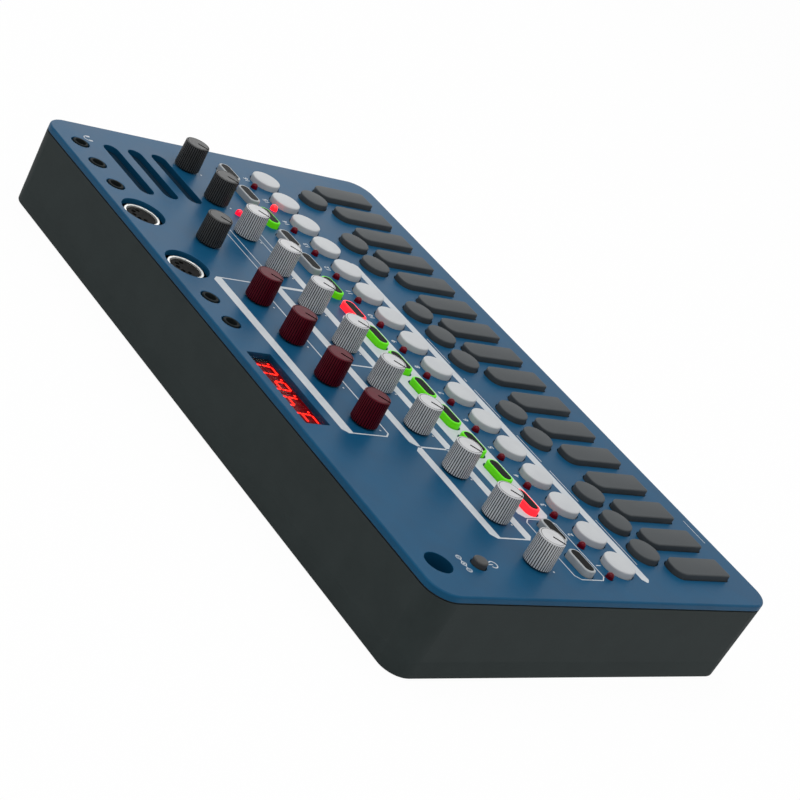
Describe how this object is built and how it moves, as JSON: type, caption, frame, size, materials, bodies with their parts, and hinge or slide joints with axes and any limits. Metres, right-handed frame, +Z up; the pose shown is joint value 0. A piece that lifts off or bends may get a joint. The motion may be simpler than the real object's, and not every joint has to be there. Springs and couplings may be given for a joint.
{
  "type": "compact synthesizer",
  "caption": "Flat desktop synthesizer: moulded case with rows of long and round keys, step and function buttons, fluted knobs, a small display, a speaker and sockets.",
  "frame": {"origin": "middle of the case's outline, on the surface that the feet stand on", "axes": "+X to the player's right, +Y to the rear, where the sockets are, +Z up"},
  "size_m": [0.297, 0.176, 0.048],
  "materials": {
    "cover_blue": "satin moulded plastic, deep grey-blue",
    "tub_dark": "fine-textured dark grey plastic",
    "foot_rubber": "black rubber",
    "screw_steel": "dark zinc-plated steel",
    "board_green": "green solder mask",
    "strip_rubber": "grey silicone rubber",
    "pot_metal": "pressed steel over a plastic body",
    "led_red": "clear red plastic lens",
    "speaker_black": "black paper cone in a dark frame",
    "display_black": "black display face",
    "window_dark": "dark clear plastic pane",
    "socket_black": "black plastic",
    "button_white": "off-white satin plastic",
    "button_pale": "translucent pale plastic",
    "button_dark": "dark grey plastic",
    "key_dark": "dark grey soft-touch rubber",
    "knob_grey": "pale grey plastic, fluted",
    "knob_red": "dark red plastic, fluted",
    "knob_black": "black plastic, fluted"
  },
  "bodies": {
    "case": {"top_cover": "cover_blue", "bottom_case": "tub_dark", "rubber_feet": "foot_rubber", "case_screws": "screw_steel", "circuit_boards": "board_green", "contact_strips": "strip_rubber", "potentiometers": "pot_metal", "status_leds": "led_red", "speaker": "speaker_black", "display_module": "display_black", "display_window": "window_dark", "jack_sockets": "socket_black", "midi_sockets": "socket_black"},
    "grey_knob_1": {"grey_knob_1": "knob_grey"},
    "grey_knob_2": {"grey_knob_2": "knob_grey"},
    "grey_knob_3": {"grey_knob_3": "knob_grey"},
    "grey_knob_4": {"grey_knob_4": "knob_grey"},
    "grey_knob_5": {"grey_knob_5": "knob_grey"},
    "grey_knob_6": {"grey_knob_6": "knob_grey"},
    "grey_knob_7": {"grey_knob_7": "knob_grey"},
    "grey_knob_8": {"grey_knob_8": "knob_grey"},
    "grey_knob_9": {"grey_knob_9": "knob_grey"},
    "black_knob_1": {"black_knob_1": "knob_black"},
    "black_knob_2": {"black_knob_2": "knob_black"},
    "red_knob_1": {"red_knob_1": "knob_red"},
    "red_knob_2": {"red_knob_2": "knob_red"},
    "red_knob_3": {"red_knob_3": "knob_red"},
    "red_knob_4": {"red_knob_4": "knob_red"},
    "volume_knob": {"volume_knob": "knob_black"},
    "long_key_01": {"long_key_01": "key_dark"},
    "long_key_02": {"long_key_02": "key_dark"},
    "long_key_03": {"long_key_03": "key_dark"},
    "long_key_04": {"long_key_04": "key_dark"},
    "long_key_05": {"long_key_05": "key_dark"},
    "long_key_06": {"long_key_06": "key_dark"},
    "long_key_07": {"long_key_07": "key_dark"},
    "long_key_08": {"long_key_08": "key_dark"},
    "long_key_09": {"long_key_09": "key_dark"},
    "long_key_10": {"long_key_10": "key_dark"},
    "long_key_11": {"long_key_11": "key_dark"},
    "long_key_12": {"long_key_12": "key_dark"},
    "long_key_13": {"long_key_13": "key_dark"},
    "long_key_14": {"long_key_14": "key_dark"},
    "long_key_15": {"long_key_15": "key_dark"},
    "long_key_16": {"long_key_16": "key_dark"},
    "round_key_01": {"round_key_01": "key_dark"},
    "round_key_02": {"round_key_02": "key_dark"},
    "round_key_03": {"round_key_03": "key_dark"},
    "round_key_04": {"round_key_04": "key_dark"},
    "round_key_05": {"round_key_05": "key_dark"},
    "round_key_06": {"round_key_06": "key_dark"},
    "round_key_07": {"round_key_07": "key_dark"},
    "round_key_08": {"round_key_08": "key_dark"},
    "round_key_09": {"round_key_09": "key_dark"},
    "round_key_10": {"round_key_10": "key_dark"},
    "round_key_11": {"round_key_11": "key_dark"},
    "step_buttons": {"step_buttons": "button_white"},
    "function_buttons": {"function_buttons": "button_pale"},
    "power_button": {"power_button": "button_dark"},
    "battery_door": {"battery_door": "tub_dark"}
  },
  "joints": [
    {"name": "grey_knob_1_turn", "type": "hinge", "parent": "case", "child": "grey_knob_1", "pos_m": [-0.1293, 0.0276, 0.0362], "axis": [0, 0, 1], "range_deg": [-280, 0]},
    {"name": "grey_knob_2_turn", "type": "hinge", "parent": "case", "child": "grey_knob_2", "pos_m": [-0.10368, 0.0276, 0.0362], "axis": [0, 0, 1], "range_deg": [-280, 0]},
    {"name": "grey_knob_3_turn", "type": "hinge", "parent": "case", "child": "grey_knob_3", "pos_m": [-0.07806, 0.0276, 0.0362], "axis": [0, 0, 1], "range_deg": [-280, 0]},
    {"name": "grey_knob_4_turn", "type": "hinge", "parent": "case", "child": "grey_knob_4", "pos_m": [-0.05244, 0.0276, 0.0362], "axis": [0, 0, 1], "range_deg": [-280, 0]},
    {"name": "grey_knob_5_turn", "type": "hinge", "parent": "case", "child": "grey_knob_5", "pos_m": [-0.02682, 0.0276, 0.0362], "axis": [0, 0, 1], "range_deg": [-280, 0]},
    {"name": "grey_knob_6_turn", "type": "hinge", "parent": "case", "child": "grey_knob_6", "pos_m": [-0.0012, 0.0276, 0.0362], "axis": [0, 0, 1], "range_deg": [-280, 0]},
    {"name": "grey_knob_7_turn", "type": "hinge", "parent": "case", "child": "grey_knob_7", "pos_m": [0.02442, 0.0276, 0.0362], "axis": [0, 0, 1], "range_deg": [-280, 0]},
    {"name": "grey_knob_8_turn", "type": "hinge", "parent": "case", "child": "grey_knob_8", "pos_m": [0.05004, 0.0276, 0.0362], "axis": [0, 0, 1], "range_deg": [-280, 0]},
    {"name": "grey_knob_9_turn", "type": "hinge", "parent": "case", "child": "grey_knob_9", "pos_m": [0.07566, 0.0276, 0.0362], "axis": [0, 0, 1], "range_deg": [-280, 0]},
    {"name": "black_knob_1_turn", "type": "hinge", "parent": "case", "child": "black_knob_1", "pos_m": [0.10128, 0.0276, 0.0362], "axis": [0, 0, 1], "range_deg": [-280, 0]},
    {"name": "black_knob_2_turn", "type": "hinge", "parent": "case", "child": "black_knob_2", "pos_m": [0.1269, 0.0276, 0.0362], "axis": [0, 0, 1], "range_deg": [-280, 0]},
    {"name": "red_knob_1_turn", "type": "hinge", "parent": "case", "child": "red_knob_1", "pos_m": [-0.05244, 0.054, 0.0362], "axis": [0, 0, 1], "range_deg": [-280, 0]},
    {"name": "red_knob_2_turn", "type": "hinge", "parent": "case", "child": "red_knob_2", "pos_m": [-0.02682, 0.054, 0.0362], "axis": [0, 0, 1], "range_deg": [-280, 0]},
    {"name": "red_knob_3_turn", "type": "hinge", "parent": "case", "child": "red_knob_3", "pos_m": [-0.0012, 0.054, 0.0362], "axis": [0, 0, 1], "range_deg": [-280, 0]},
    {"name": "red_knob_4_turn", "type": "hinge", "parent": "case", "child": "red_knob_4", "pos_m": [0.02442, 0.054, 0.0362], "axis": [0, 0, 1], "range_deg": [-280, 0]},
    {"name": "volume_knob_turn", "type": "hinge", "parent": "case", "child": "volume_knob", "pos_m": [0.064, 0.054, 0.0362], "axis": [0, 0, 1], "range_deg": [-280, 0]},
    {"name": "long_key_01_press", "type": "slide", "parent": "case", "child": "long_key_01", "axis": [0, 0, -1], "range_m": [0, 0.001], "stiffness_N_per_m": 300, "springref_m": -0.001},
    {"name": "long_key_02_press", "type": "slide", "parent": "case", "child": "long_key_02", "axis": [0, 0, -1], "range_m": [0, 0.001], "stiffness_N_per_m": 300, "springref_m": -0.001},
    {"name": "long_key_03_press", "type": "slide", "parent": "case", "child": "long_key_03", "axis": [0, 0, -1], "range_m": [0, 0.001], "stiffness_N_per_m": 300, "springref_m": -0.001},
    {"name": "long_key_04_press", "type": "slide", "parent": "case", "child": "long_key_04", "axis": [0, 0, -1], "range_m": [0, 0.001], "stiffness_N_per_m": 300, "springref_m": -0.001},
    {"name": "long_key_05_press", "type": "slide", "parent": "case", "child": "long_key_05", "axis": [0, 0, -1], "range_m": [0, 0.001], "stiffness_N_per_m": 300, "springref_m": -0.001},
    {"name": "long_key_06_press", "type": "slide", "parent": "case", "child": "long_key_06", "axis": [0, 0, -1], "range_m": [0, 0.001], "stiffness_N_per_m": 300, "springref_m": -0.001},
    {"name": "long_key_07_press", "type": "slide", "parent": "case", "child": "long_key_07", "axis": [0, 0, -1], "range_m": [0, 0.001], "stiffness_N_per_m": 300, "springref_m": -0.001},
    {"name": "long_key_08_press", "type": "slide", "parent": "case", "child": "long_key_08", "axis": [0, 0, -1], "range_m": [0, 0.001], "stiffness_N_per_m": 300, "springref_m": -0.001},
    {"name": "long_key_09_press", "type": "slide", "parent": "case", "child": "long_key_09", "axis": [0, 0, -1], "range_m": [0, 0.001], "stiffness_N_per_m": 300, "springref_m": -0.001},
    {"name": "long_key_10_press", "type": "slide", "parent": "case", "child": "long_key_10", "axis": [0, 0, -1], "range_m": [0, 0.001], "stiffness_N_per_m": 300, "springref_m": -0.001},
    {"name": "long_key_11_press", "type": "slide", "parent": "case", "child": "long_key_11", "axis": [0, 0, -1], "range_m": [0, 0.001], "stiffness_N_per_m": 300, "springref_m": -0.001},
    {"name": "long_key_12_press", "type": "slide", "parent": "case", "child": "long_key_12", "axis": [0, 0, -1], "range_m": [0, 0.001], "stiffness_N_per_m": 300, "springref_m": -0.001},
    {"name": "long_key_13_press", "type": "slide", "parent": "case", "child": "long_key_13", "axis": [0, 0, -1], "range_m": [0, 0.001], "stiffness_N_per_m": 300, "springref_m": -0.001},
    {"name": "long_key_14_press", "type": "slide", "parent": "case", "child": "long_key_14", "axis": [0, 0, -1], "range_m": [0, 0.001], "stiffness_N_per_m": 300, "springref_m": -0.001},
    {"name": "long_key_15_press", "type": "slide", "parent": "case", "child": "long_key_15", "axis": [0, 0, -1], "range_m": [0, 0.001], "stiffness_N_per_m": 300, "springref_m": -0.001},
    {"name": "long_key_16_press", "type": "slide", "parent": "case", "child": "long_key_16", "axis": [0, 0, -1], "range_m": [0, 0.001], "stiffness_N_per_m": 300, "springref_m": -0.001},
    {"name": "round_key_01_press", "type": "slide", "parent": "case", "child": "round_key_01", "axis": [0, 0, -1], "range_m": [0, 0.001], "stiffness_N_per_m": 300, "springref_m": -0.001},
    {"name": "round_key_02_press", "type": "slide", "parent": "case", "child": "round_key_02", "axis": [0, 0, -1], "range_m": [0, 0.001], "stiffness_N_per_m": 300, "springref_m": -0.001},
    {"name": "round_key_03_press", "type": "slide", "parent": "case", "child": "round_key_03", "axis": [0, 0, -1], "range_m": [0, 0.001], "stiffness_N_per_m": 300, "springref_m": -0.001},
    {"name": "round_key_04_press", "type": "slide", "parent": "case", "child": "round_key_04", "axis": [0, 0, -1], "range_m": [0, 0.001], "stiffness_N_per_m": 300, "springref_m": -0.001},
    {"name": "round_key_05_press", "type": "slide", "parent": "case", "child": "round_key_05", "axis": [0, 0, -1], "range_m": [0, 0.001], "stiffness_N_per_m": 300, "springref_m": -0.001},
    {"name": "round_key_06_press", "type": "slide", "parent": "case", "child": "round_key_06", "axis": [0, 0, -1], "range_m": [0, 0.001], "stiffness_N_per_m": 300, "springref_m": -0.001},
    {"name": "round_key_07_press", "type": "slide", "parent": "case", "child": "round_key_07", "axis": [0, 0, -1], "range_m": [0, 0.001], "stiffness_N_per_m": 300, "springref_m": -0.001},
    {"name": "round_key_08_press", "type": "slide", "parent": "case", "child": "round_key_08", "axis": [0, 0, -1], "range_m": [0, 0.001], "stiffness_N_per_m": 300, "springref_m": -0.001},
    {"name": "round_key_09_press", "type": "slide", "parent": "case", "child": "round_key_09", "axis": [0, 0, -1], "range_m": [0, 0.001], "stiffness_N_per_m": 300, "springref_m": -0.001},
    {"name": "round_key_10_press", "type": "slide", "parent": "case", "child": "round_key_10", "axis": [0, 0, -1], "range_m": [0, 0.001], "stiffness_N_per_m": 300, "springref_m": -0.001},
    {"name": "round_key_11_press", "type": "slide", "parent": "case", "child": "round_key_11", "axis": [0, 0, -1], "range_m": [0, 0.001], "stiffness_N_per_m": 300, "springref_m": -0.001},
    {"name": "step_buttons_press", "type": "slide", "parent": "case", "child": "step_buttons", "axis": [0, 0, -1], "range_m": [0, 0.001], "stiffness_N_per_m": 3000, "springref_m": -0.001},
    {"name": "function_buttons_press", "type": "slide", "parent": "case", "child": "function_buttons", "axis": [0, 0, -1], "range_m": [0, 0.001], "stiffness_N_per_m": 3000, "springref_m": -0.001},
    {"name": "power_button_press", "type": "slide", "parent": "case", "child": "power_button", "axis": [0, 0, -1], "range_m": [0, 0.001], "stiffness_N_per_m": 300, "springref_m": -0.001},
    {"name": "battery_door_swing", "type": "hinge", "parent": "case", "child": "battery_door", "pos_m": [0, -0.00795, 0.0011], "axis": [-1, 0, 0], "range_deg": [0, 40]}
  ]
}
